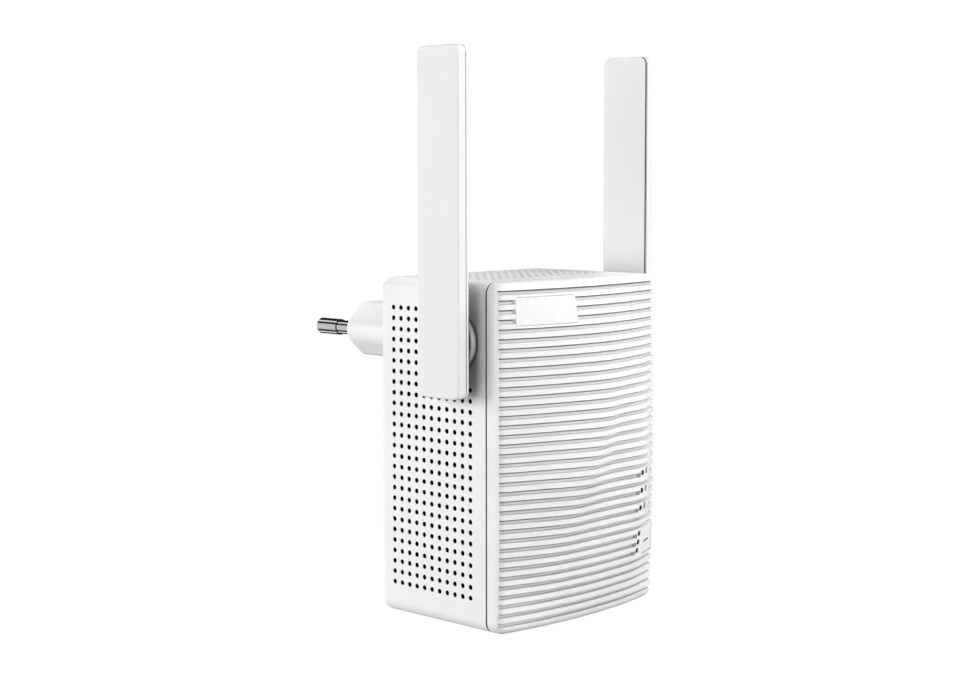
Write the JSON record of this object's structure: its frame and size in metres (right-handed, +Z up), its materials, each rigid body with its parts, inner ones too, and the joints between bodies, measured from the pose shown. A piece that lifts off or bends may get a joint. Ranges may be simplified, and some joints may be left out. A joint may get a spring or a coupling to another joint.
{
  "type": "wifi range extender",
  "caption": "Wall-plug wifi range extender with a ribbed, softly sculpted front, perforated sides, two folding blade antennas on side hinges and a two-pin plug behind.",
  "frame": {"origin": "centre of the plug base's end face, midway between the two pins", "axes": "+Y along the pins, into the wall socket; +Z up, along the raised antennas; the ribbed front faces -Y; +X to the right seen from the front"},
  "size_m": [0.0808, 0.1085, 0.1565],
  "materials": {
    "cover_white": "white moulded plastic, fine even texture, ribbed front",
    "case_white": "white moulded plastic, fine even texture, perforated",
    "plug_white": "white moulded plastic, satin",
    "badge_white": "white plastic, smooth",
    "button_white": "white moulded plastic, as the cover",
    "antenna_white": "white moulded plastic, satin",
    "hub_white": "white hard-wearing plastic, smooth",
    "guide_clear": "smoked light guide, dark when unlit",
    "mark_grey": "thin grey pad print",
    "pin_chrome": "bright nickel plate",
    "contact_brass": "stamped brass spring",
    "contact_gold": "gold-plated contact",
    "screw_steel": "zinc-plated steel",
    "board_green": "glass-fibre board, green solder mask",
    "board_tan": "paper-phenolic board",
    "element_green": "thin glass-fibre board with a printed antenna",
    "can_tin": "tin-plated sheet",
    "chip_black": "black moulding compound",
    "pad_grey": "soft silicone pad",
    "spreader_aluminium": "extruded, as made",
    "led_clear": "clear lens, unlit",
    "switch_black": "black switch body",
    "plunger_black": "black plunger",
    "jack_black": "black moulded socket",
    "ferrite": "dark sintered ferrite",
    "winding_tape": "yellow winding tape",
    "capacitor_sleeve": "dark shrink sleeve",
    "fuse_ceramic": "ceramic tube",
    "link_white": "pin header and its socket",
    "washer_nylon": "nylon washer",
    "lead_grey": "thin grey coaxial lead"
  },
  "bodies": {
    "root": {"badge_plate": "badge_white", "board_chips": "chip_black", "board_lead_left": "lead_grey", "board_lead_right": "lead_grey", "board_link": "link_white", "bridge_rectifier": "chip_black", "bulk_capacitors": "capacitor_sleeve", "case_screws": "screw_steel", "ethernet_jack": "jack_black", "front_cover": "cover_white", "fuse": "fuse_ceramic", "heat_spreader": "spreader_aluminium", "hinge_washer_left": "washer_nylon", "hinge_washer_right": "washer_nylon", "input_choke": "ferrite", "jack_contacts": "contact_gold", "lead_sockets": "contact_gold", "light_guide": "guide_clear", "main_board": "board_green", "main_board_screws": "screw_steel", "output_capacitor": "capacitor_sleeve", "plug_base": "plug_white", "plug_contacts": "contact_brass", "plug_pin_left": "pin_chrome", "plug_pin_right": "pin_chrome", "power_board": "board_tan", "power_board_screws": "screw_steel", "printed_marks": "mark_grey", "rear_case": "case_white", "reset_switch": "switch_black", "shield_can": "can_tin", "status_leds": "led_clear", "thermal_pad": "pad_grey", "transformer_core": "ferrite", "transformer_winding": "winding_tape", "wps_switch": "switch_black"},
    "antenna_left": {"antenna_cover_left": "antenna_white", "antenna_element_left": "element_green", "antenna_lead_left": "lead_grey", "antenna_shell_left": "antenna_white", "hinge_hub_left": "hub_white", "hinge_snap_ring_left": "screw_steel"},
    "antenna_right": {"antenna_cover_right": "antenna_white", "antenna_element_right": "element_green", "antenna_lead_right": "lead_grey", "antenna_shell_right": "antenna_white", "hinge_hub_right": "hub_white", "hinge_snap_ring_right": "screw_steel"},
    "wps_button": {"wps_button": "button_white"},
    "wps_switch_plunger": {"wps_switch_plunger": "plunger_black"},
    "reset_switch_plunger": {"reset_switch_plunger": "plunger_black"}
  },
  "joints": [
    {"name": "antenna_left_hinge", "type": "hinge", "parent": "root", "child": "antenna_left", "pos_m": [-0.0332, -0.0662, 0.0018], "axis": [1, 0, 0], "range_deg": [0, 180]},
    {"name": "antenna_right_hinge", "type": "hinge", "parent": "root", "child": "antenna_right", "pos_m": [0.0332, -0.0662, 0.0018], "axis": [1, 0, 0], "range_deg": [0, 180]},
    {"name": "wps_button_press", "type": "slide", "parent": "root", "child": "wps_button", "axis": [0, 1, 0], "range_m": [0, 0.00035], "stiffness_N_per_m": 800, "springref_m": -0.0005},
    {"name": "wps_plunger_press", "type": "slide", "parent": "root", "child": "wps_switch_plunger", "axis": [0, 1, 0], "range_m": [0, 0.00035]},
    {"name": "reset_plunger_press", "type": "slide", "parent": "root", "child": "reset_switch_plunger", "axis": [0, 0, 1], "range_m": [0, 0.00035], "stiffness_N_per_m": 800, "springref_m": -0.0005}
  ],
  "couplings": [
    {"joint": "wps_plunger_press", "follows": "wps_button_press", "ratio": 1}
  ]
}
